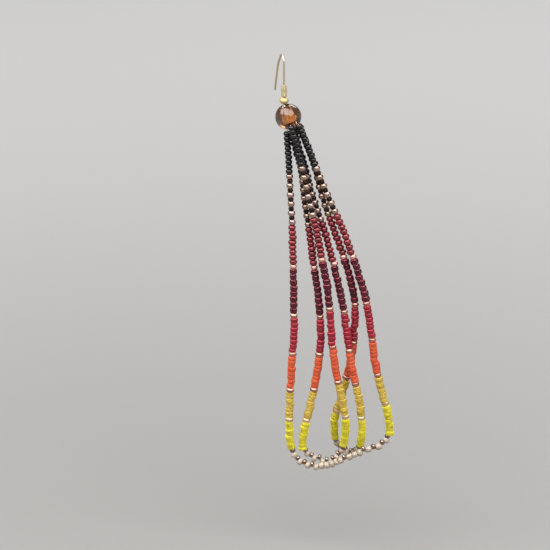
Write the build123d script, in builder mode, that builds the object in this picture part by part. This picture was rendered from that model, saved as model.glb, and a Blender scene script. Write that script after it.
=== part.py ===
from build123d import *
from math import cos, pi, radians, sin, sqrt, tan
import os

# Beaded fringe earring: a gold ear wire with a coil and a bead on its stem, one amber glass bead
# hung from its eye by a thread, and three long loops of seed beads, six strands, under the bead.
# Millimetres, +Z up. The origin is the inside top of the ear wire's bend, where it hangs in the ear.

# Ear wire, in its own upright plane, which is turned from straight back
wire_d = 0.65
hook_turn = 20.0
bend_r = 1.8
bend_angle = 145.0
front_leg = 6.9
shoulder = 3.5
back_leg = 9.3
back_slant = 17.0
shoulder_r = 8.0
eye_bore = 0.5
tip_share = 0.9

# Coil and bead that slide on the wire's stem
slip = 0.05
coil_wire_d = 0.42
coil_turns = 9
ball_d = 2.8
ball_h = 2.1

# Amber bead, hung a little to the right as the whole fringe does
fringe_lean = 18.0
amber_d = 7.9
amber_h = 7.2
amber_bore = 2.2
mouth_d = 2.7
eye_dip = 1.1

# Thread through the eye and the amber bead
thread_d = 0.3
thread_gap = 0.08
thread_tail = 0.8

# Strings of seed beads, 2.2 mm across, with each corner's arc as a share of its shorter run
string_d = 2.2
arc_share = 0.45

# Route points of the three strings, each from the underside of the amber bead down one strand,
# along the bottom and up the other strand: right, back and up from the bead's lower mouth
outer_route = [
    (-1.6, -1.2, -0.65), (-1.0, -1.3, -5.24), (-0.4, -1.4, -12.97), (0.0, -1.8, -21.47),
    (0.6, -2.3, -31.47), (0.8, -2.9, -42.47), (0.9, -3.3, -53.47), (1.15, -3.5, -63.47),
    (0.5, -3.3, -73.47), (-0.2, -2.9, -83.47), (-0.4, -2.5, -92.47), (0.1, -2.0, -99.97),
    (1.7, -1.9, -104.07), (4.6, -1.9, -106.47), (8.2, -2.0, -107.37), (12.2, -2.6, -106.47),
    (16.0, -3.9, -104.47), (20.3, -5.2, -102.17), (24.6, -4.4, -101.37), (28.2, -3.0, -99.37),
    (29.8, -2.4, -95.67), (29.2, -2.9, -90.47), (27.2, -3.3, -82.47), (25.2, -3.7, -72.47),
    (23.9, -3.8, -61.47), (22.2, -3.65, -51.47), (19.5, -3.4, -41.97), (16.0, -3.1, -31.47),
    (11.3, -2.7, -20.97), (7.9, -2.3, -12.47), (5.1, -2.0, -5.24), (2.38, -1.2, 0.48),
]
left_route = [
    (-1.62, 1.2, -0.65), (-0.5, 1.1, -5.74), (1.5, 0.6, -12.97), (3.6, -0.2, -21.47),
    (5.5, -1.2, -31.47), (7.0, -2.0, -42.47), (8.5, -2.6, -53.47), (9.3, -2.9, -64.47),
    (8.2, -3.0, -74.97), (6.2, -2.9, -84.97), (4.2, -2.6, -93.47), (3.5, -2.4, -99.47),
    (4.9, -3.4, -102.67), (8.4, -4.5, -104.17), (11.9, -4.9, -103.67), (14.6, -4.4, -101.87),
    (16.3, -3.5, -98.47), (16.7, -4.0, -91.47), (15.2, -4.5, -82.47), (12.9, -4.6, -71.97),
    (12.1, -4.4, -60.97), (11.5, -4.1, -51.47), (9.6, -3.8, -41.47), (7.7, -3.4, -30.97),
    (5.4, -3.0, -20.97), (3.6, -2.5, -12.47), (1.9, -2.4, -5.24), (0.38, -2.4, -0.1),
]
right_route = [
    (0.38, 2.4, -0.1), (1.9, 2.1, -5.24), (4.1, 1.4, -12.97), (6.6, 0.0, -21.47),
    (10.1, -1.2, -31.47), (12.9, -2.2, -41.97), (15.4, -2.9, -52.97), (17.0, -3.8, -63.47),
    (18.2, -4.3, -73.47), (20.0, -4.3, -82.97), (21.2, -3.8, -91.97), (21.1, -3.3, -96.97),
    (20.7, -2.5, -99.77), (19.7, -0.8, -101.77), (18.1, 1.3, -102.77), (16.4, 2.8, -102.77),
    (14.7, 2.9, -101.67), (13.5, 2.0, -99.47), (13.1, 0.8, -95.97), (13.5, 0.1, -89.97),
    (16.0, -0.5, -81.97), (18.4, -0.9, -71.47), (19.3, -1.4, -60.47), (18.9, -2.0, -50.97),
    (16.6, -2.0, -41.97), (13.0, -1.5, -31.47), (9.1, -0.85, -20.97), (6.1, -0.6, -12.97),
    (3.8, 0.5, -5.24), (2.38, 1.2, 0.48),
]

# Heights down the stem, and the line that it hangs on
wire_r = wire_d / 2
bend_z = wire_r - bend_r
coil_top = bend_z - front_leg
coil_h = coil_turns * coil_wire_d
coil_bottom = coil_top - coil_h
coil_r = wire_r + slip + coil_wire_d / 2
stem_bore_r = wire_r + slip


def ball_half(r):
    # Half height of the stem bead at a radius from its axis
    return ball_h / 2 * sqrt(1 - (2 * r / ball_d) ** 2)


ball_z = coil_bottom - slip - ball_half(stem_bore_r)
eye_r = (eye_bore + wire_d) / 2
eye_z = ball_z - ball_half(stem_bore_r) - slip - eye_r - wire_r
stem_x = bend_r * sin(radians(hook_turn))
stem_y = -bend_r * cos(radians(hook_turn))

# Upright plane of the ear wire: its x runs back from the stem, and its y is up
hook_plane = Plane(
    origin=(stem_x, stem_y, 0),
    x_dir=(-sin(radians(hook_turn)), cos(radians(hook_turn)), 0),
    z_dir=(cos(radians(hook_turn)), sin(radians(hook_turn)), 0),
)

# The line down the fringe, from the middle of the wire at the bottom of the eye
lean_x = sin(radians(fringe_lean))
lean_z = -cos(radians(fringe_lean))
hang = Vector(stem_x, stem_y, eye_z - eye_r)
down = Vector(lean_x, 0, lean_z)
mouth_top = wire_r - eye_dip
amber_centre = hang + down * (mouth_top + amber_h / 2)
strings_top = hang + down * (mouth_top + amber_h)

# Ear wire: stem, bend, slanting back leg and closed eye, one piece
turn_end = radians(180 - bend_angle)
bend_end = (bend_r + bend_r * cos(turn_end), bend_z + bend_r * sin(turn_end))
knee = (bend_end[0] + shoulder * sin(turn_end), bend_end[1] - shoulder * cos(turn_end))
tip = (
    knee[0] + back_leg * sin(radians(back_slant)),
    knee[1] - back_leg * cos(radians(back_slant)),
)
with BuildPart() as ear_hook:
    with BuildLine(hook_plane) as wire_path:
        Line((0, eye_z + eye_r), (0, bend_z))
        CenterArc((bend_r, bend_z), bend_r, 180, -bend_angle)
        FilletPolyline(bend_end, knee, tip, radius=shoulder_r)
    with BuildSketch(Plane(origin=wire_path.wires()[0] @ 0, z_dir=(0, 0, 1))):
        Circle(wire_r)
    sweep(path=wire_path.wires()[0])
    fillet(ear_hook.edges().filter_by(GeomType.CIRCLE).sort_by(Axis.Y)[-1], wire_r * tip_share)
    with Locations(hook_plane * Location((0, eye_z))):
        Torus(eye_r, wire_r)
ear_hook.part.label = "ear_hook"

# Coil of finer wire round the stem, close wound, as one sleeve with a rib for each turn
with BuildPart() as hook_coil:
    with BuildSketch(Plane.XZ.offset(-stem_y)):
        with Locations((stem_x + (stem_bore_r + coil_r) / 2, coil_bottom + coil_h / 2)):
            Rectangle(coil_r - stem_bore_r, coil_h)
        with Locations(*[(stem_x + coil_r, coil_bottom + coil_wire_d * (n + 0.5))
                         for n in range(coil_turns)]):
            Circle(coil_wire_d / 2)
        with Locations((stem_x + stem_bore_r / 2, coil_bottom + coil_h / 2)):
            Rectangle(stem_bore_r, coil_h, mode=Mode.SUBTRACT)
    revolve(axis=Axis((stem_x, stem_y, 0), (0, 0, 1)))
hook_coil.part.label = "hook_coil"

# Bead that closes the stem above the eye, a flattened ball with a bore for the wire
with BuildPart() as hook_ball:
    with BuildSketch(Plane.XZ.offset(-stem_y)):
        with Locations((stem_x, ball_z)):
            Ellipse(ball_d / 2, ball_h / 2)
        with Locations((stem_x - ball_d / 2 + stem_bore_r, ball_z)):
            Rectangle(ball_d, ball_h, mode=Mode.SUBTRACT)
    revolve(axis=Axis((stem_x, stem_y, 0), (0, 0, 1)))
hook_ball.part.label = "hook_ball"

# Amber glass bead: a slightly flattened ball, drilled, with a small countersink at each mouth
lean_plane = Plane(origin=amber_centre, x_dir=(-lean_z, 0, lean_x), z_dir=(0, -1, 0))
bore_r = amber_bore / 2
mouth_r = mouth_d / 2
sink = mouth_r - bore_r
with BuildPart() as amber_bead:
    with BuildSketch(lean_plane):
        with BuildLine():
            ThreePointArc((mouth_r, -amber_h / 2), (amber_d / 2, 0), (mouth_r, amber_h / 2))
            Polyline(
                (mouth_r, amber_h / 2),
                (bore_r, amber_h / 2 - sink),
                (bore_r, -amber_h / 2 + sink),
                (mouth_r, -amber_h / 2),
            )
        make_face()
    revolve(axis=Axis(amber_centre, down))
amber_bead.part.label = "amber_bead"

# Thread: over the wire of the eye, down the amber bead and out among the first seed beads
thread_r = thread_d / 2
wrap_r = wire_r / cos(radians(hook_turn)) + thread_gap + thread_r
eye_y = amber_h / 2 + mouth_top
tail_y = -amber_h / 2 - thread_tail

with BuildPart() as thread_loop:
    with BuildLine(lean_plane) as thread_path:
        Line((-wrap_r, tail_y), (-wrap_r, eye_y))
        CenterArc((0, eye_y), wrap_r, 180, -180)
        Line((wrap_r, eye_y), (wrap_r, tail_y))
    with BuildSketch(Plane(origin=thread_path.wires()[0] @ 0, z_dir=-down)):
        Circle(thread_r)
    sweep(path=thread_path.wires()[0])
thread_loop.part.label = "thread_loop"


def corner_radii(points):
    # As large an arc at each corner as its two runs allow
    radii = []
    for before, corner, after in zip(points, points[1:], points[2:]):
        turn = (corner - before).get_angle(after - corner)
        run = min((corner - before).length, (after - corner).length)
        radii.append(arc_share * run / tan(radians(turn / 2)))
    return radii


def bead_string(name, route):
    # One string of seed beads as a plain round string of their diameter
    points = [strings_top + Vector(*point) for point in route]
    radii = corner_radii(points)
    with BuildPart() as string:
        with BuildLine() as path:
            FilletPolyline(*points, radius=radii)
        line = path.wires()[0]
        with BuildSketch(Plane(origin=line @ 0, z_dir=line % 0)):
            Circle(string_d / 2)
        sweep(path=line)
    string.part.label = name
    even = line.length * pi * string_d**2 / 4
    print(name, "length", round(line.length, 1), "volume", round(string.part.volume, 2),
          "section by length", round(even, 2), "radii", [round(r, 1) for r in radii])
    return string


bead_loop_outer = bead_string("bead_loop_outer", outer_route)
bead_loop_left = bead_string("bead_loop_left", left_route)
bead_loop_right = bead_string("bead_loop_right", right_route)

os.makedirs("parts", exist_ok=True)
for piece in (ear_hook, hook_coil, hook_ball, amber_bead, thread_loop,
              bead_loop_outer, bead_loop_left, bead_loop_right):
    export_step(piece.part, f"parts/{piece.part.label}.step")
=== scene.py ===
import math
import bpy
import numpy as np
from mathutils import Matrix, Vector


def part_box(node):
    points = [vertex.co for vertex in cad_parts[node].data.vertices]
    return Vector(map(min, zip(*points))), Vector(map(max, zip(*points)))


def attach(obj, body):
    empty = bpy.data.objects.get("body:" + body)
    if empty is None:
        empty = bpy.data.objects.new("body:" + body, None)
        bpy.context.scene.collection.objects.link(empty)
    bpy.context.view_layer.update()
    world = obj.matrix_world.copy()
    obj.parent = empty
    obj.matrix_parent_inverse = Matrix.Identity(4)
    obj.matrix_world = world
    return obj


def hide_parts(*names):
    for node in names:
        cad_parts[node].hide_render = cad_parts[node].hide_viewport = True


# Beaded fringe earring: its looks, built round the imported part, in metres, +Z up, seen from -Y

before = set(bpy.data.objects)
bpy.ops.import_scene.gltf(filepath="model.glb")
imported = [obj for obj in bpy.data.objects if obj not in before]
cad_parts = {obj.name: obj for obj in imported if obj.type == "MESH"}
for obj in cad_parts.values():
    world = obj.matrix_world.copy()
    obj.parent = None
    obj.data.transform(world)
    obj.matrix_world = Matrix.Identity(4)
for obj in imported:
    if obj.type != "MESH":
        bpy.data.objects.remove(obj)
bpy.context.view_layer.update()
scene = bpy.context.scene
print("frame loaded with", len(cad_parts), "nodes")


# Camera: turned 0 degrees, looking down 18, from far off as a long lens does

shot = {"lookAt": (-0.00209, -0.004, -0.06735), "lookDown": 18.0, "distance": 5.0, "frameWidth": 0.165}
lookDown = math.radians(shot["lookDown"])
cameraData = bpy.data.cameras.new("shotCamera")
cameraData.lens = cameraData.sensor_width * shot["distance"] / shot["frameWidth"]
cameraData.clip_start, cameraData.clip_end = 0.1, 20.0
camera = bpy.data.objects.new("shotCamera", cameraData)
camera.location = (
    shot["lookAt"][0],
    shot["lookAt"][1] - shot["distance"] * math.cos(lookDown),
    shot["lookAt"][2] + shot["distance"] * math.sin(lookDown),
)
camera.rotation_euler = (math.pi / 2 - lookDown, 0, 0)
scene.collection.objects.link(camera)
scene.camera = camera


# Shader maths as plain expressions, and one maker for every other node. A noise is given in the
# dictionaries below by its scale, detail, roughness and stretch, and a fade by where it starts and ends

glassRefraction = 1.5


class Wire:
    def __init__(self, paint, socket):
        self.paint, self.socket = paint, socket

    def __add__(self, other):
        return self.paint.maths("ADD", self, other)

    def __radd__(self, other):
        return self.paint.maths("ADD", other, self)

    def __sub__(self, other):
        return self.paint.maths("SUBTRACT", self, other)

    def __rsub__(self, other):
        return self.paint.maths("SUBTRACT", other, self)

    def __mul__(self, other):
        return self.paint.maths("MULTIPLY", self, other)

    def __rmul__(self, other):
        return self.paint.maths("MULTIPLY", other, self)


class Paint:
    def __init__(self, holder):
        self.holder = holder
        holder.use_nodes = True
        self.tree = holder.node_tree
        self.tree.nodes.clear()

    def make(self, kind, settings, sockets, output=0):
        node = self.tree.nodes.new(kind)
        for key, value in settings.items():
            setattr(node, key, value)
        for key, value in sockets.items():
            if isinstance(value, Wire):
                self.tree.links.new(value.socket, node.inputs[key])
            elif isinstance(value, tuple) and len(node.inputs[key].default_value) == 4:
                node.inputs[key].default_value = (*value, 1.0)
            else:
                node.inputs[key].default_value = value
        return Wire(self, node.outputs[output]) if node.outputs else None

    def maths(self, operation, first, second):
        return self.make("ShaderNodeMath", {"operation": operation}, {0: first, 1: second})

    def mixColour(self, amount, first, second):
        return self.make("ShaderNodeMix", {"data_type": "RGBA"}, {0: amount, 6: first, 7: second}, 2)

    def attribute(self, name):
        return self.make("ShaderNodeAttribute", {"attribute_name": name}, {}, 2)

    def noise(self, scale, detail=2.0, roughness=0.5, stretch=(1.0, 1.0, 1.0)):
        place = self.make("ShaderNodeTexCoord", {}, {}, 3)
        if stretch != (1.0, 1.0, 1.0):
            place = self.make("ShaderNodeMapping", {}, {"Vector": place, "Scale": stretch})
        return self.make("ShaderNodeTexNoise", {}, {"Vector": place, "Scale": scale, "Detail": detail,
                                                    "Roughness": roughness})

    def fade(self, value, low, high, toLow=0.0, toHigh=1.0):
        return self.make("ShaderNodeMapRange", {"interpolation_type": "SMOOTHSTEP"},
                         {0: value, 1: low, 2: high, 3: toLow, 4: toHigh})

    def bump(self, height, strength, distance):
        return self.make("ShaderNodeBump", {},
                         {"Height": height, "Strength": strength, "Distance": distance})

    def finish(self, **surface):
        named = {key.replace("_", " "): value for key, value in surface.items()}
        shader = self.make("ShaderNodeBsdfPrincipled", {}, named)
        self.make("ShaderNodeOutputMaterial", {}, {"Surface": shader})
        return self.holder


def newPaint(name):
    return Paint(bpy.data.materials.new(name))


# Meshes: every one is made from numpy points and quads

def unit(vector):
    return vector / np.linalg.norm(vector)


def newPiece(name, points, faces, material, slot, replaced, **attributes):
    mesh = bpy.data.meshes.new(name)
    mesh.from_pydata(points.tolist(), [], [list(face) for face in faces])
    mesh.polygons.foreach_set("use_smooth", [True] * len(mesh.polygons))
    for key, values in attributes.items():
        mark = mesh.attributes.new(key, "FLOAT", "POINT")
        mark.data.foreach_set("value", np.asarray(values, np.float32))
    mesh.materials.append(material)
    piece = bpy.data.objects.new(name, mesh)
    scene.collection.objects.link(piece)
    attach(piece, "root")
    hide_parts(replaced)


def gridFaces(rows, columns, closed=True):
    # Quads between rows of points, each row a closed ring; closed joins the last row to the first
    a, b = np.meshgrid(np.arange(rows if closed else rows - 1), np.arange(columns), indexing="ij")
    a, b = a.ravel(), b.ravel()
    a2, b2 = (a + 1) % rows, (b + 1) % columns
    return np.stack([a * columns + b, a2 * columns + b, a2 * columns + b2, a * columns + b2], 1)


def sidesAlong(line):
    # Two directions across a line at each of its points, which turn as little as they can
    along = np.gradient(line, axis=0)
    along /= np.linalg.norm(along, axis=1)[:, None]
    side = np.zeros_like(line)
    across = (1.0, 0.0, 0.0) if abs(along[0][1]) >= 0.9 else (0.0, 1.0, 0.0)
    side[0] = unit(np.cross(along[0], across))
    for n in range(1, len(line)):
        side[n] = unit(side[n - 1] - along[n] * np.dot(side[n - 1], along[n]))
    return side, np.cross(along, side)


def tube(line, radius, sides):
    # Points and faces of a round tube along a line, with flat ends
    side, other = sidesAlong(line)
    turn = np.linspace(0, 2 * math.pi, sides, endpoint=False)
    ring = np.cos(turn)[None, :, None] * side[:, None] + np.sin(turn)[None, :, None] * other[:, None]
    points = (line[:, None] + ring * radius).reshape(-1, 3)
    faces = gridFaces(len(line), sides, closed=False)[:, ::-1].tolist()
    last = (len(line) - 1) * sides
    return points, faces + [list(range(sides)), [last + n for n in reversed(range(sides))]]


# Thread, made of real curves: through each loop of beads, and up the amber bead and over the eye

threadLook = {
    "width": 0.00022, "topWidth": 0.00021, "dark": (0.60, 0.50, 0.49), "light": (0.86, 0.80, 0.78),
    "strands": (9000.0, 2.0, 0.5, (1.0, 1.0, 0.25)), "relief": 0.4, "reliefDepth": 0.00003,
    "roughness": 0.75, "fuzz": 0.2, "curveSteps": 24, "roundSteps": 2,
}


def threadMaterial():
    paint = newPaint("beadThread")
    strands = paint.noise(*threadLook["strands"])
    colour = paint.mixColour(strands, threadLook["dark"], threadLook["light"])
    return paint.finish(
        Base_Color=colour, Roughness=threadLook["roughness"], Sheen_Weight=threadLook["fuzz"],
        Normal=paint.bump(strands, threadLook["relief"], threadLook["reliefDepth"]),
    )


threadPaint = threadMaterial()


def layThread(name, route, width, replaced):
    # A smooth thread near the points of a route, and the points that Blender reads from its line
    data = bpy.data.curves.new(name, "CURVE")
    data.dimensions = "3D"
    data.resolution_u = threadLook["curveSteps"]
    spline = data.splines.new("NURBS")
    spline.points.add(len(route) - 1)
    for point, place in zip(spline.points, route):
        point.co = (*place, 1.0)
    spline.order_u = 3
    spline.use_endpoint_u = True
    curve = bpy.data.objects.new(name, data)
    scene.collection.objects.link(curve)
    flat = bpy.data.meshes.new_from_object(curve)
    line = np.array([v.co[:] for v in flat.vertices])
    bpy.data.meshes.remove(flat)
    data.bevel_depth = width / 2
    data.bevel_resolution = threadLook["roundSteps"]
    data.materials.append(threadPaint)
    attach(curve, "root")
    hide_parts(replaced)
    return line


# The line that the fringe hangs on leans to the right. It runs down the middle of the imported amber
# bead, from the wire at the bottom of the eye to the bead's lower mouth, where the strings start

hangLine = {"lean": 18.0, "beadHeight": 0.0072, "wire": 0.00065, "eyeDip": 0.0011}
lean = math.radians(hangLine["lean"])
down = np.array((math.sin(lean), 0.0, -math.cos(lean)))
right = np.array((math.cos(lean), 0.0, math.sin(lean)))
back = np.array((0.0, 1.0, 0.0))
beadLow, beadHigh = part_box("amber_bead")
beadMiddle = np.array((beadLow + beadHigh) / 2)
halfBead = hangLine["beadHeight"] / 2
stringsTop = beadMiddle + down * halfBead
eyeBottom = beadMiddle - down * (halfBead + hangLine["wire"] / 2 - hangLine["eyeDip"])


# Routes of the three loops of beads: right, back and up from the lower mouth of the amber bead, in
# metres. They follow the routes in the part's source to within half a millimetre, but for the tops
# of the strands and the bottom rows of the outer and left loops. Those lie up to 3.3 mm from them,
# so that they look as in the photo

routes = {
    "outer": (
        (-0.0011, -0.00125, -0.00065), (-0.00085, -0.0013, -0.00524), (-0.0004, -0.0014, -0.01297),
        (0.0, -0.0018, -0.02147), (0.0006, -0.0023, -0.03147), (0.0008, -0.0029, -0.04247),
        (0.0009, -0.0033, -0.05347), (0.00115, -0.0035, -0.06347), (0.00035, -0.0033, -0.07347),
        (-0.0002, -0.0029, -0.08347), (-0.0005, -0.0025, -0.09247), (0.0, -0.002, -0.09997),
        (0.0017, -0.0026, -0.1036), (0.0045, -0.0036, -0.1051), (0.0082, -0.0044, -0.1055),
        (0.0122, -0.0049, -0.1044), (0.0162, -0.0051, -0.1024), (0.0203, -0.0052, -0.1005),
        (0.0246, -0.0044, -0.0996), (0.0282, -0.003, -0.0986), (0.02995, -0.0024, -0.0952),
        (0.02955, -0.0029, -0.09047), (0.0275, -0.0033, -0.08247), (0.0252, -0.0037, -0.07247),
        (0.024, -0.0038, -0.06147), (0.02245, -0.00365, -0.05147), (0.0195, -0.0034, -0.04197),
        (0.016, -0.0031, -0.03147), (0.0113, -0.0027, -0.02097), (0.0079, -0.0023, -0.01247),
        (0.005, -0.0026, -0.0046), (0.0036, -0.0034, -0.0009), (0.00235, -0.00375, 0.00235),
    ),
    "left": (
        (-0.0001, 0.0009, -0.00065), (0.0013, -0.00035, -0.00574), (0.0033, 0.00005, -0.01297),
        (0.00395, -0.0002, -0.02147), (0.0055, -0.0012, -0.03147), (0.007, -0.002, -0.04247),
        (0.0085, -0.0026, -0.05347), (0.0093, -0.0029, -0.06447), (0.0082, -0.003, -0.07497),
        (0.0062, -0.0029, -0.08497), (0.0043, -0.0026, -0.09347), (0.0034, -0.0024, -0.0996),
        (0.005, -0.0023, -0.1023), (0.0084, -0.0024, -0.1036), (0.0119, -0.0024, -0.1045),
        (0.0149, -0.0025, -0.1019), (0.0163, -0.003, -0.098), (0.0167, -0.004, -0.09147),
        (0.0152, -0.0045, -0.08247), (0.0129, -0.0046, -0.07197), (0.0121, -0.0044, -0.06097),
        (0.0115, -0.0041, -0.05147), (0.0096, -0.0038, -0.04147), (0.0077, -0.0034, -0.03097),
        (0.0054, -0.003, -0.02097), (0.0036, -0.0025, -0.01247), (0.002, -0.0031, -0.0046),
        (0.0009, -0.0041, -0.0012), (0.0, -0.0046, 0.00225),
    ),
    "right": (
        (0.0009, 0.0029, -0.0001), (0.0019, 0.0021, -0.00524), (0.0045, 0.0021, -0.01297),
        (0.0066, 0.0003, -0.02147), (0.0101, -0.0012, -0.03147), (0.0129, -0.0022, -0.04197),
        (0.0154, -0.0029, -0.05297), (0.017, -0.0038, -0.06347), (0.0182, -0.0043, -0.07347),
        (0.02035, -0.0043, -0.08297), (0.02165, -0.0038, -0.09197), (0.02135, -0.0033, -0.09697),
        (0.02085, -0.0025, -0.09977), (0.0197, -0.0008, -0.10177), (0.0181, 0.0013, -0.10277),
        (0.0164, 0.0028, -0.10277), (0.0147, 0.0029, -0.10167), (0.0135, 0.002, -0.09947),
        (0.0131, 0.0008, -0.09597), (0.0135, 0.0001, -0.08997), (0.016, -0.0005, -0.08197),
        (0.01855, -0.0009, -0.07147), (0.0195, -0.0014, -0.06047), (0.0192, -0.002, -0.05097),
        (0.0166, -0.002, -0.04197), (0.013, -0.0015, -0.03147), (0.00925, -0.00085, -0.02097),
        (0.0075, 0.00005, -0.01297), (0.0049, 0.0001, -0.00524), (0.0026, 0.0011, 0.00048),
    ),
}


# Seed bead finishes and shapes. A bead's colour lies between dark and light, with lining in its bore
# where it is given. The rim colour, where it is given, is painted light on the bead's rounded ends: a
# lighter band standing in for light coming through and catching the ends. length is against the other
# beads of its row.
# bulge is how deep the rounded side is against half the length, and square how square it is.
# tilt is in degrees, and across, slip off the thread and hang are in metres. hang is how far a bead
# sinks below the thread, or sits above it where it is negative. plainBead fills in what a finish
# doesn't give

plainBead = {
    "metallic": 0.0, "coat": 0.0, "glass": 0.0, "milk": 0.0, "glow": (1.0, 0.6, 0.4),
    "shine": 0.5, "rimRange": (0.5, 0.95), "hang": 0.0,
}
beadFinishes = {
    "black": {
        "slot": "black_glass", "dark": (0.0015, 0.0005, 0.001), "light": (0.004, 0.0015, 0.003),
        "roughness": 0.12, "shine": 0.44,
        "across": 0.00220, "length": 1.0, "bulge": 1.0, "square": 2.1,
        "tilt": 3.0, "slip": 0.00008, "uneven": 0.08,
    },
    "gold": {
        "slot": "gold_beads", "dark": (0.31, 0.200, 0.125), "light": (0.38, 0.252, 0.245),
        "roughness": 0.36, "metallic": 1.0, "coat": 0.6,
        "across": 0.00222, "length": 1.2, "bulge": 1.0, "square": 2.1,
        "tilt": 3.0, "slip": 0.00008, "uneven": 0.05,
    },
    "rose": {
        "slot": "gold_beads", "dark": (0.62, 0.32, 0.235), "light": (0.73, 0.41, 0.37),
        "roughness": 0.48, "metallic": 1.0,
        "across": 0.00226, "length": 1.0, "bulge": 0.9, "square": 2.1,
        "tilt": 5.0, "slip": 0.00012, "uneven": 0.05,
    },
    # ring and cream: their lighter ends round a darker middle are a painted highlight ring and painted
    # shade
    "ring": {
        "slot": "gold_beads", "dark": (0.32, 0.125, 0.085), "light": (0.41, 0.185, 0.14),
        "paintedLitRim": (0.76, 0.415, 0.315), "rimRange": (0.3, 0.65), "roughness": 0.5, "metallic": 1.0,
        "across": 0.00238, "length": 1.0, "bulge": 0.85, "square": 2.2,
        "tilt": 5.0, "slip": 0.00012, "uneven": 0.05,
    },
    "cream": {
        "slot": "gold_beads", "dark": (0.46, 0.34, 0.18), "light": (0.58, 0.44, 0.26),
        "paintedLitRim": (0.82, 0.62, 0.40), "rimRange": (0.2, 0.55), "roughness": 0.54, "metallic": 1.0,
        "across": 0.00236, "length": 1.0, "bulge": 0.6, "square": 2.5,
        "tilt": 6.0, "slip": 0.00014, "uneven": 0.05,
    },
    "bronze": {
        "slot": "bronze_beads", "dark": (0.011, 0.0045, 0.0024), "light": (0.038, 0.016, 0.0076),
        "roughness": 0.3, "metallic": 0.6, "shine": 0.2,
        "across": 0.00176, "length": 0.8, "bulge": 0.9, "square": 2.2,
        "tilt": 3.0, "slip": 0.00008, "uneven": 0.05,
    },
    "red": {
        "slot": "red_glass", "dark": (0.128, 0.006, 0.009), "light": (0.20, 0.013, 0.020),
        "roughness": 0.34, "metallic": 0.40, "coat": 0.30,
        "across": 0.00240, "length": 1.0, "bulge": 1.0, "square": 2.1,
        "tilt": 4.0, "slip": 0.00012, "uneven": 0.05,
    },
    "garnet": {
        "slot": "garnet_glass", "dark": (0.056, 0.001, 0.007), "light": (0.125, 0.003, 0.018),
        "paintedLitRim": (0.34, 0.030, 0.050), "roughness": 0.18, "glass": 0.55, "shine": 0.2,
        "across": 0.00240, "length": 1.0, "bulge": 0.55, "square": 2.5,
        "tilt": 5.0, "slip": 0.00016, "uneven": 0.08,
    },
    "raspberry": {
        "slot": "raspberry_glass", "dark": (0.22, 0.007, 0.017), "light": (0.32, 0.013, 0.031),
        "paintedLitRim": (0.46, 0.038, 0.060), "roughness": 0.35, "glass": 0.3, "milk": 0.2, "coat": 0.04,
        "shine": 0.23,
        "across": 0.00236, "length": 1.0, "bulge": 0.55, "square": 2.5,
        "tilt": 6.0, "slip": 0.00020, "uneven": 0.11,
    },
    "orange": {
        "slot": "orange_glass", "dark": (0.47, 0.060, 0.021), "light": (0.56, 0.102, 0.040),
        "roughness": 0.5, "glass": 0.1, "milk": 0.4, "coat": 0.05, "shine": 0.2,
        "across": 0.00236, "length": 1.0, "bulge": 0.3, "square": 2.8,
        "tilt": 6.0, "slip": 0.00013, "uneven": 0.12,
    },
    "honey": {
        "slot": "honey_glass", "dark": (0.60, 0.415, 0.045), "light": (0.70, 0.51, 0.080),
        "paintedLitRim": (0.76, 0.59, 0.14), "lining": (0.95, 0.80, 0.5), "roughness": 0.25, "glass": 0.5,
        "shine": 0.26,
        "across": 0.00236, "length": 1.0, "bulge": 0.24, "square": 3.0,
        "tilt": 8.0, "slip": 0.00023, "uneven": 0.14,
    },
    "lemon": {
        "slot": "lemon_glass", "dark": (0.53, 0.455, 0.030), "light": (0.575, 0.50, 0.040),
        "roughness": 0.55, "glass": 0.1, "milk": 1.0, "glow": (0.9, 1.0, 0.3), "coat": 0.04,
        "shine": 0.08,
        "across": 0.00240, "length": 1.0, "bulge": 0.17, "square": 3.2,
        "tilt": 4.0, "slip": 0.00017, "uneven": 0.12,
    },
    "pearl": {
        "slot": "pearl_glass", "dark": (0.435, 0.365, 0.285), "light": (0.57, 0.48, 0.395),
        "roughness": 0.22, "glass": 0.35, "milk": 1.0, "glow": (1.0, 0.9, 0.8), "shine": 0.4,
        "across": 0.00206, "length": 1.5, "bulge": 1.0, "square": 2.05,
        "tilt": 8.0, "slip": 0.00020, "uneven": 0.12, "hang": 0.00034,
    },
    "smallGold": {
        "slot": "gold_beads", "dark": (0.20, 0.125, 0.09), "light": (0.34, 0.245, 0.20),
        "roughness": 0.2, "metallic": 1.0, "coat": 0.35,
        "across": 0.00174, "length": 1.0, "bulge": 1.0, "square": 2.0,
        "tilt": 6.0, "slip": 0.00008, "uneven": 0.05, "hang": -0.00042,
    },
}
beadFinishes = {name: {**plainBead, **look} for name, look in beadFinishes.items()}
beadGrain = {
    "cloud": (2600.0,), "cloudShare": 0.3, "leastRough": 0.8, "roughSpread": 0.4,
    "pits": (5200.0, 3.0, 0.6), "pitRelief": 0.05, "pitDepth": 0.00006,
    "glowReach": 0.0015, "coatRoughness": 0.08,
}


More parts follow.
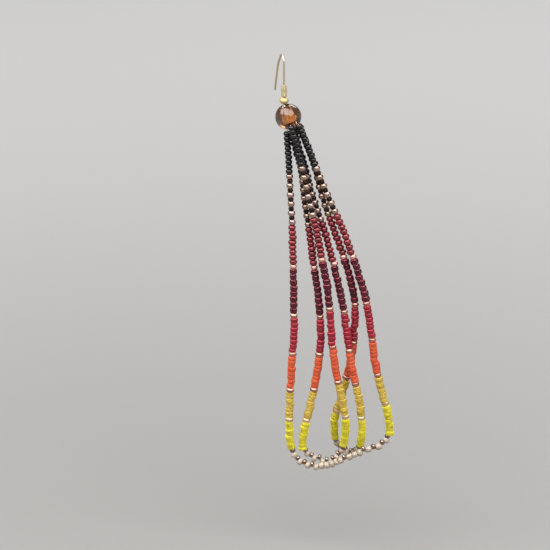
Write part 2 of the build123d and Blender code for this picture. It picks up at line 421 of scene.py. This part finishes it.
def beadMaterial(name, look):
    # The mesh brings tone, from 0 to 1 from bead to bead, bore, which is 1 on the wall of the hole,
    # and edge, which rises from 0 round the bead's middle to 1 at its ends
    paint = newPaint(name)
    cloud = paint.noise(*beadGrain["cloud"])
    tone = paint.attribute("tone") * (1 - beadGrain["cloudShare"]) + cloud * beadGrain["cloudShare"]
    colour = paint.mixColour(tone, look["dark"], look["light"])
    metallic = look["metallic"]
    if "lining" in look:
        metallic = paint.attribute("bore")
        colour = paint.mixColour(metallic, colour, look["lining"])
    # Painted light: the rounded ends turn towards the rim colour, a lighter band standing in for light
    # coming through and catching the bead's ends
    if "paintedLitRim" in look:
        ends = paint.fade(paint.attribute("edge"), *look["rimRange"])
        colour = paint.mixColour(ends, colour, look["paintedLitRim"])
    pits = paint.noise(*beadGrain["pits"])
    return paint.finish(
        Base_Color=colour, Metallic=metallic,
        Roughness=look["roughness"] * (beadGrain["leastRough"] + cloud * beadGrain["roughSpread"]),
        Normal=paint.bump(pits, beadGrain["pitRelief"], beadGrain["pitDepth"]),
        Transmission_Weight=look["glass"], IOR=glassRefraction, Specular_IOR_Level=look["shine"],
        Subsurface_Weight=look["milk"], Subsurface_Radius=look["glow"],
        Subsurface_Scale=beadGrain["glowReach"],
        Coat_Weight=look["coat"], Coat_Roughness=beadGrain["coatRoughness"],
    )


beadPaints = {name: beadMaterial(name, look) for name, look in beadFinishes.items()}
print("bead finishes made:", len(beadPaints))


# Drilled beads, joined in one mesh for each finish of a loop. hole and wall are in metres; flare is
# how wide the mouth of the hole is against the hole, and mouthAt and boreTo say where the mouth
# starts and ends against half the bead's length. The rest say how much one bead differs from another

beadMesh = {
    "around": 24, "side": 9, "gap": 0.985, "hole": 0.00075, "wall": 0.0001,
    "flare": 1.35, "mouthAt": 0.97, "boreTo": 0.73, "wide": 0.038, "wobble": 0.012, "wobbleTurn": 6.3,
    "slant": 0.06, "tiltSpread": 0.6, "slipSpread": 0.8, "hangSpread": (0.6, 1.4),
}


def beadSection(look, wide, half):
    # Once round the bead's section from its lower face: the rounded side, the faces and the bore
    bore = beadMesh["hole"] / 2
    mouth = bore * beadMesh["flare"]
    mouthAt, boreTo = half * beadMesh["mouthAt"], half * beadMesh["boreTo"]
    bulge = min(half * look["bulge"], wide - bore - beadMesh["wall"])
    swing = np.linspace(-math.pi / 2, math.pi / 2, beadMesh["side"])
    side = wide - bulge + bulge * np.abs(np.cos(swing)) ** (2 / look["square"])
    rise = half * np.sign(swing) * np.abs(np.sin(swing)) ** (2 / look["square"])
    radius = np.concatenate([side, (mouth, bore, bore, mouth)])
    height = np.concatenate([rise, (mouthAt, boreTo, -boreTo, -mouthAt)])
    inner = np.concatenate([np.zeros(len(side)), (0.0, 1.0, 1.0, 0.0)])
    return radius, height, inner, np.abs(height) / half


def oneBead(near, far, look, random):
    # The points of one bead between two places on the thread, turn by turn, and its three marks
    turn = np.linspace(0, 2 * math.pi, beadMesh["around"], endpoint=False)
    length, axis = np.linalg.norm(far - near), unit(far - near)
    below = axis * axis[2] - np.array((0, 0, 1.0))
    wide = look["across"] / 2 * (1 + random.normal(0, beadMesh["wide"]))
    radius, height, inner, edge = beadSection(look, wide, length * beadMesh["gap"] / 2)
    wobble = beadMesh["wobble"] * np.sin(2 * turn + random.uniform(0, beadMesh["wobbleTurn"]))
    radius = radius[None] * (1 + wobble)[:, None]
    x, y = radius * np.cos(turn)[:, None], radius * np.sin(turn)[:, None]
    slant = np.where(height > 0, *random.normal(0, beadMesh["slant"], 2))
    z = height[None] * (1 + slant[None] * x / wide)
    side = unit(np.cross(axis, random.normal(0, 1, 3)))
    tilt = math.tan(math.radians(look["tilt"])) * random.normal(0, beadMesh["tiltSpread"])
    lean = unit(axis + side * tilt)
    first = unit(np.cross(lean, side))
    second = np.cross(lean, first)
    slip = side * look["slip"] * random.normal(0, beadMesh["slipSpread"])
    hang = below * look["hang"] * random.uniform(*beadMesh["hangSpread"])
    points = x[..., None] * first + y[..., None] * second + z[..., None] * lean + (near + far) / 2
    tone = np.full(x.size, random.uniform(0, 1))
    return points + slip + hang, tone, np.tile(inner, len(turn)), np.tile(edge, len(turn))


def beadCloud(places, look, random):
    # places: a list of (near end, far end) on the thread
    points, *marks = zip(*(oneBead(near, far, look, random) for near, far in places))
    turns, rows = points[0].shape[:2]
    faces = [gridFaces(turns, rows) + n * turns * rows for n in range(len(places))]
    points = np.concatenate([p.reshape(-1, 3) for p in points])
    return [points, np.concatenate(faces)] + [np.concatenate(mark) for mark in marks]


# The order of the beads down one strand, with the places of its colour changes along the thread

strandLook = {"accent": 0.00143, "blackPitch": 0.00148, "goldPairs": 5, "sectionBeads": 8, "seed": 11}
sections = ("red", "garnet", "raspberry", "orange", "honey", "lemon")
accentFinishes = ("rose", "ring", "ring", "ring", "cream")
strandMarks = {   # start, end of black, end of gold and bronze, middles of the five accents, end of lemon
    "outerDown": (0.0, 0.01334, 0.02923, 0.04204, 0.05738, 0.06957, 0.08094, 0.09048, 0.10002),
    "outerUp": (0.0, 0.01445, 0.03066, 0.04488, 0.06013, 0.07175, 0.08303, 0.09248, 0.10278),
    "leftDown": (0.0006, 0.01585, 0.03085, 0.04340, 0.05891, 0.07075, 0.08192, 0.09203, 0.10137),
    "leftUp": (0.0, 0.01379, 0.03034, 0.04361, 0.05921, 0.07121, 0.08243, 0.09371, 0.10357),
    "rightDown": (0.0004, 0.01543, 0.03056, 0.04390, 0.05913, 0.07130, 0.08190, 0.09291, 0.10248),
    "rightUp": (0.0, 0.01325, 0.02930, 0.04259, 0.05820, 0.07046, 0.08193, 0.09309, 0.10250),
}
bottomRows = {
    "outer": (["smallGold", "pearl"] * 3 + ["smallGold"] + ["pearl"] * 6 + ["smallGold"]
              + ["pearl"] * 3 + ["smallGold", "pearl"] * 3 + ["smallGold"]),
    "left": ["smallGold", "pearl"] * 6 + ["smallGold"],
    "right": ["smallGold", "pearl"] * 5 + ["smallGold"],
}


def evenly(finishes, start, end, random):
    # Beads side by side from start to end, a little uneven in length
    looks = [beadFinishes[finish] for finish in finishes]
    share = np.array([look["length"] * (1 + random.normal(0, look["uneven"])) for look in looks])
    ends = start + (end - start) * np.concatenate([[0], np.cumsum(share) / share.sum()])
    return list(zip(finishes, ends, ends[1:]))


def strandBeads(marks, random):
    start, blackEnd, upperEnd, *accents, lemonEnd = marks
    blacks = round((blackEnd - start) / strandLook["blackPitch"])
    beads = evenly(["black"] * blacks, start, blackEnd, random)
    upper = ["gold", "bronze"] * strandLook["goldPairs"] + ["gold"]
    beads += evenly(upper, blackEnd, upperEnd, random)
    half = strandLook["accent"] / 2
    edges = [upperEnd] + [m + d for m in accents for d in (-half, half)] + [lemonEnd]
    for n, finish in enumerate(sections):
        beads += evenly([finish] * strandLook["sectionBeads"], edges[2 * n], edges[2 * n + 1], random)
        if n < len(accents):
            beads.append((accentFinishes[n], edges[2 * n + 1], edges[2 * n + 2]))
    return beads


def beadLoop(name, route, seed):
    # Down one strand, along the bottom row and back up the other strand, finish by finish
    random = np.random.default_rng(seed)
    node = "bead_loop_" + name
    line = layThread(name + "_thread", [stringsTop + np.array(p) for p in route],
                     threadLook["width"], node)
    along = np.concatenate([[0], np.cumsum(np.linalg.norm(np.diff(line, axis=0), axis=1))])
    total = along[-1]
    first = strandBeads(strandMarks[name + "Down"], random)
    last = [(f, total - b, total - a) for f, a, b in strandBeads(strandMarks[name + "Up"], random)]
    bottom = evenly(bottomRows[name], first[-1][2], last[-1][1], random)
    places = {}
    for finish, a, b in first + bottom + last:
        ends = [np.array([np.interp(s, along, line[:, k]) for k in range(3)]) for s in (a, b)]
        places.setdefault(finish, []).append(ends)
    for finish, ends in places.items():
        look = beadFinishes[finish]
        points, faces, tone, bore, edge = beadCloud(ends, look, random)
        newPiece(f"{name}_{finish}", points, faces, beadPaints[finish], look["slot"], node,
                 tone=tone, bore=bore, edge=edge)
    count = len(first + bottom + last)
    print(name, "loop:", count, "beads on", round(total * 1000, 1), "mm of thread")


for number, name in enumerate(routes):
    beadLoop(name, routes[name], strandLook["seed"] + number)


# Gold of the ear wire, its coil and the bead on its stem

goldLooks = {
    "wire": {"dark": (0.50, 0.40, 0.26), "light": (0.72, 0.60, 0.44), "roughness": 0.40},
    "coil": {"dark": (0.40, 0.32, 0.17), "light": (0.56, 0.46, 0.27), "roughness": 0.6},
    "ball": {"dark": (0.48, 0.36, 0.15), "light": (0.64, 0.50, 0.26), "roughness": 0.66},
}
goldGrain = {
    "wear": (1400.0, 4.0, 0.6), "scratch": (4000.0, 2.0, 0.5, (1.0, 1.0, 0.12)),
    "relief": 0.1, "reliefDepth": 0.00002, "leastRough": 0.7, "roughSpread": 0.6,
}


def goldMaterial(name, look):
    paint = newPaint(name + "Gold")
    wear = paint.noise(*goldGrain["wear"])
    scratch = paint.noise(*goldGrain["scratch"])
    return paint.finish(
        Base_Color=paint.mixColour(wear, look["dark"], look["light"]), Metallic=1.0,
        Roughness=look["roughness"] * (goldGrain["leastRough"] + scratch * goldGrain["roughSpread"]),
        Normal=paint.bump(scratch, goldGrain["relief"], goldGrain["reliefDepth"]),
    )


golds = {name: goldMaterial(name, look) for name, look in goldLooks.items()}
for nodeName, gold in (("ear_hook", "wire"), ("hook_ball", "ball")):
    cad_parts[nodeName].data.materials.clear()
    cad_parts[nodeName].data.materials.append(golds[gold])

coilLook = {"wire": 0.00041, "turns": 9.0, "steps": 40, "sides": 12, "start": -1.2}
coilLow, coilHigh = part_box("hook_coil")
stem = (coilLow + coilHigh) / 2
coilReach = (coilHigh.x - coilLow.x) / 2 - coilLook["wire"] / 2
steps = np.linspace(0, 1, int(coilLook["turns"] * coilLook["steps"]))
coilTurn = steps * coilLook["turns"] * 2 * math.pi + coilLook["start"]
coilRise = (coilHigh.z - coilLow.z) - coilLook["wire"]
coilLine = np.stack([stem.x + coilReach * np.cos(coilTurn), stem.y + coilReach * np.sin(coilTurn),
                     coilLow.z + coilLook["wire"] / 2 + coilRise * steps], 1)
coilPoints, coilFaces = tube(coilLine, coilLook["wire"] / 2, coilLook["sides"])
newPiece("coil_wire", coilPoints, coilFaces, golds["coil"], "gold_wire", "hook_coil")
print("ear wire and coil made")


# Amber bead, turned from its profile, with a core round its bore from a little below the bead's middle to
# near its top, painted with a warm glow below and highlights above

amberLook = {
    "across": 0.0079, "height": 0.0072, "bore": 0.0025, "mouth": 0.0029, "mouthTo": 0.7, "mouthAt": 0.1,
    "around": 96, "section": 40, "shift": (0.0004, 0.0, 0.00015),
    "dark": (0.20, 0.10, 0.052), "light": (0.32, 0.17, 0.088), "roughness": 0.03, "shine": 0.08,
    "swirl": (260.0, 3.0, 0.55, (1.0, 1.0, 0.6)), "swirlFade": (0.35, 0.65),
}
# The core's colours are painted light: the warm colour a glow of light focused down through the glass,
# the pale one highlights, and glow the strength it shines with by emission
coreLook = {
    "outside": 0.00137, "inside": 0.00128, "top": 0.0029, "bottom": -0.0012, "slant": 0.22, "steps": 10,
    "paintedGlow": (1.0, 0.53, 0.16), "pale": (0.95, 0.80, 0.72), "dark": (0.22, 0.09, 0.07),
    "glowToHighlightFade": (0.25, 0.8), "roughness": 0.5, "glow": 0.3,
    "streak": (1700.0, 2.0, 0.5, (1.0, 1.0, 0.12)), "streakShare": 0.6,
    "streakFade": (0.42, 0.56), "streakFrom": (0.3, 0.7),
}
amberCentre = beadMiddle + np.array(amberLook["shift"])


def lathe(radius, height):
    # A closed profile turned about the line down the fringe; heights count up from the middle of the bead
    turn = np.linspace(0, 2 * math.pi, amberLook["around"], endpoint=False)[:, None, None]
    points = (amberCentre + radius[None, :, None] * (np.cos(turn) * right - np.sin(turn) * back)
              - height[None, :, None] * down)
    return points.reshape(-1, 3), gridFaces(len(turn), len(radius))[:, ::-1]


def amberBead():
    half, reach = amberLook["height"] / 2, amberLook["across"] / 2
    bore, mouth = amberLook["bore"] / 2, amberLook["mouth"] / 2
    bend = (half ** 2 + (reach - mouth) ** 2) / (2 * (reach - mouth))
    swing = math.asin(half / bend)
    angles = np.linspace(-swing, swing, amberLook["section"])
    sink = mouth - bore
    lip, lipAt = mouth - sink * amberLook["mouthTo"], half - sink * amberLook["mouthAt"]
    radius = np.concatenate([reach - bend + bend * np.cos(angles), (lip, bore, bore, lip)])
    height = np.concatenate([bend * np.sin(angles), (lipAt, half - sink, sink - half, -lipAt)])
    return lathe(radius, height)


def amberCorePaintedGlow():
    top, bottom, count = coreLook["top"], coreLook["bottom"], coreLook["steps"]
    steps = np.linspace(0, 1, count)
    radius = np.concatenate([np.full(count, coreLook["outside"]), np.full(count, coreLook["inside"])])
    height = np.concatenate([bottom + (top - bottom) * steps, top + (bottom - top) * steps])
    points, faces = lathe(radius, height)
    turn = np.linspace(0, 2 * math.pi, amberLook["around"], endpoint=False)[:, None]
    level = (height - bottom) / (top - bottom) - coreLook["slant"] * np.cos(turn)
    return points, faces, level.ravel()


def amberMaterial():
    paint = newPaint("amberGlass")
    swirl = paint.fade(paint.noise(*amberLook["swirl"]), *amberLook["swirlFade"])
    return paint.finish(
        Base_Color=paint.mixColour(swirl, amberLook["dark"], amberLook["light"]),
        Roughness=amberLook["roughness"], Transmission_Weight=1.0, IOR=glassRefraction,
        Specular_IOR_Level=amberLook["shine"],
    )


def paintedGlowCoreMaterial():
    # Painted light: a warm glow below, standing in for light focused down through the glass, and pale
    # painted highlights above, with dark streaks down its upper part. It also shines by emission, though
    # it is no lamp
    paint = newPaint("amberCorePaintedGlow")
    streak = paint.noise(*coreLook["streak"])
    level = paint.attribute("level") + (streak - 0.5) * coreLook["streakShare"]
    colour = paint.mixColour(paint.fade(level, *coreLook["glowToHighlightFade"]), coreLook["paintedGlow"], coreLook["pale"])
    dark = paint.fade(streak, *coreLook["streakFade"], 1.0, 0.0)
    upper = paint.fade(level, *coreLook["streakFrom"])
    colour = paint.mixColour(dark * upper, colour, coreLook["dark"])
    return paint.finish(Base_Color=colour, Roughness=coreLook["roughness"],
                        Emission_Color=colour, Emission_Strength=coreLook["glow"])


points, faces = amberBead()
newPiece("amber_glass_bead", points, faces, amberMaterial(), "amber_glass", "amber_bead")
points, faces, level = amberCorePaintedGlow()
newPiece("amber_core", points, faces, paintedGlowCoreMaterial(), "amber_glass", "amber_bead", level=level)
print("amber bead made")


# Threads over the eye: one for each loop, from its two ends up the bore and over the eye's wire.
# gather is how far from a loop's end the thread turns to the mouth, and low, middle and high are
# places in the bore, down from the middle of the amber bead. sides holds how far each thread lies to
# either side of the eye's bottom, and how far along the wire

topThread = {
    "hookTurn": 20.0, "mouth": 0.00078, "gather": 0.55, "overSteps": 9,
    "low": 0.0016, "middle": -0.0004, "high": -0.0022, "lowShare": 0.8, "middleShare": 1.2,
    "sides": {"outer": (0.00050, -0.00011), "left": (0.00050, 0.00011), "right": (0.00067, 0.0)},
}
hookTurn = math.radians(topThread["hookTurn"])
wireWay = np.array((-math.sin(hookTurn), math.cos(hookTurn), 0.0))


def threadEnd(end, reach, aside):
    # From a loop's end to the lower mouth, then up the bore beside the wire of the eye
    toward = unit(np.array((end[0], end[1], 0.0))) * topThread["mouth"]
    return [
        stringsTop + end,
        stringsTop + end * topThread["gather"] + toward * (1 - topThread["gather"]),
        stringsTop + toward,
        amberCentre + down * topThread["low"] + toward * topThread["lowShare"],
        amberCentre + down * topThread["middle"] + right * reach * topThread["middleShare"]
        + wireWay * aside * 2,
        amberCentre + down * topThread["high"] + right * reach + wireWay * aside,
    ]


for name, (reach, aside) in topThread["sides"].items():
    first, last = (np.array(routes[name][n]) for n in (0, -1))
    over = [eyeBottom + reach * (right * math.cos(t) - down * math.sin(t)) + wireWay * aside
            for t in np.linspace(math.pi, 0, topThread["overSteps"])]
    layThread(name + "_top_thread",
              threadEnd(first, -reach, aside) + over + threadEnd(last, reach, aside)[::-1],
              threadLook["topWidth"], "thread_loop")
print("threads laid over the eye")


# Floor and light

# near is painted shade round the earring, and far the paler floor away from it
floorLook = {
    "height": -0.152, "size": 6.0, "near": (0.162, 0.158, 0.152), "far": (0.365, 0.362, 0.357),
    "fade": (0.06, 0.62), "roughness": 0.6,
}


def shadedFloorMaterial():
    # Painted shade: darker round the earring, and paler with the distance from it, the same on every side
    paint = newPaint("floorPaintedShade")
    place = paint.make("ShaderNodeTexCoord", {}, {}, 3)
    away = paint.make("ShaderNodeVectorMath", {"operation": "LENGTH"}, {0: place}, 1)
    pale = paint.fade(away, *floorLook["fade"])
    return paint.finish(Base_Color=paint.mixColour(pale, floorLook["near"], floorLook["far"]),
                        Roughness=floorLook["roughness"])


half = floorLook["size"] / 2
corners = [(x * half, y * half, floorLook["height"]) for x, y in ((-1, -1), (1, -1), (1, 1), (-1, 1))]
floorMesh = bpy.data.meshes.new("floor")
floorMesh.from_pydata(corners, [], [(0, 1, 2, 3)])
floorMesh.materials.append(shadedFloorMaterial())
floor = bpy.data.objects.new("floor", floorMesh)
scene.collection.objects.link(floor)

studioLook = {
    "aim": (0.012, -0.003, -0.065), "air": (0.80, 0.80, 0.79), "airStrength": 0.12,
    "lights": {   # place, width, depth and power; all are aimed at the middle of the fringe
        "above": ((-0.13, -0.31, 0.66), 2.20, 0.90, 38.5),
        "right": ((0.85, -0.30, 0.10), 0.30, 0.30, 1.5),
        "behind": ((0.25, 0.70, 0.45), 0.50, 0.40, 3.0),
    },
}
for name, (place, width, depth, power) in studioLook["lights"].items():
    data = bpy.data.lights.new(name, "AREA")
    data.shape, data.size, data.size_y, data.energy = "RECTANGLE", width, depth, power
    lamp = bpy.data.objects.new(name, data)
    lamp.location = place
    away = np.array(place) - np.array(studioLook["aim"])
    flat = math.hypot(away[0], away[1])
    lamp.rotation_euler = (math.atan2(flat, away[2]), 0, math.atan2(away[1], away[0]) + math.pi / 2)
    scene.collection.objects.link(lamp)

studio = Paint(bpy.data.worlds.new("studio"))
air = studio.make("ShaderNodeBackground", {},
                  {"Color": studioLook["air"], "Strength": studioLook["airStrength"]})
studio.make("ShaderNodeOutputWorld", {}, {"Surface": air})
scene.world = studio.holder
scene.view_settings.view_transform = "Standard"
print("floor and lights set")
